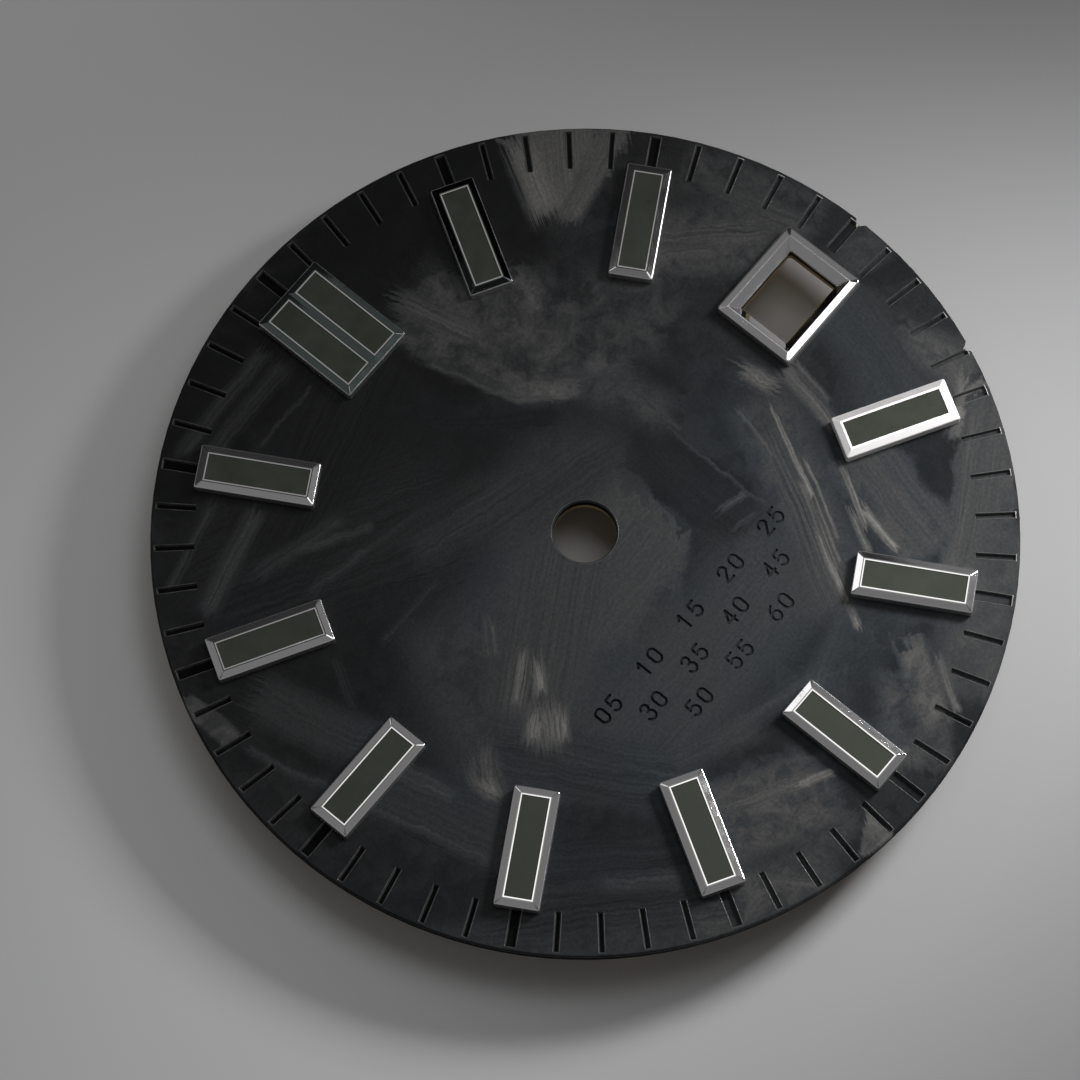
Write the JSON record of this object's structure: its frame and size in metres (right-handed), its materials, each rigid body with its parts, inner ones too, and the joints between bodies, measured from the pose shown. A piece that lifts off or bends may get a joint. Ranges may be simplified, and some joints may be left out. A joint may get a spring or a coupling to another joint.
{
  "type": "watch dial",
  "caption": "Round wristwatch dial of forged carbon with an engraved minute track, applied baton markers with luminous fill, a framed date opening and two feet on the back.",
  "frame": {"origin": "axis of the centre hole, in the back face that rests on the movement", "axes": "+Z out of the front of the dial, +Y to twelve o'clock, +X to three o'clock and the date opening"},
  "size_m": [0.0284, 0.0284, 0.0031],
  "materials": {
    "carbon": "satin forged carbon, pressed chopped fibre in resin",
    "polished_metal": "polished plated facets",
    "lume": "matte olive grey luminous paint, unlit",
    "base_metal": "fine turned",
    "foot_metal": "drawn wire, satin",
    "cement": "cured clear cement, slightly amber"
  },
  "bodies": {
    "root": {"carbon_face": "carbon", "base_plate": "base_metal", "pin_cement": "cement", "date_frame": "polished_metal", "index_12": "polished_metal", "index_01": "polished_metal", "index_02": "polished_metal", "index_04": "polished_metal", "index_05": "polished_metal", "index_06": "polished_metal", "index_07": "polished_metal", "index_08": "polished_metal", "index_09": "polished_metal", "index_10": "polished_metal", "index_11": "polished_metal", "lume_01": "lume", "lume_02": "lume", "lume_04": "lume", "lume_05": "lume", "lume_06": "lume", "lume_07": "lume", "lume_08": "lume", "lume_09": "lume", "lume_10": "lume", "lume_11": "lume", "lume_12_left": "lume", "lume_12_right": "lume", "dial_foot_upper": "foot_metal", "dial_foot_lower": "foot_metal"}
  },
  "joints": []
}
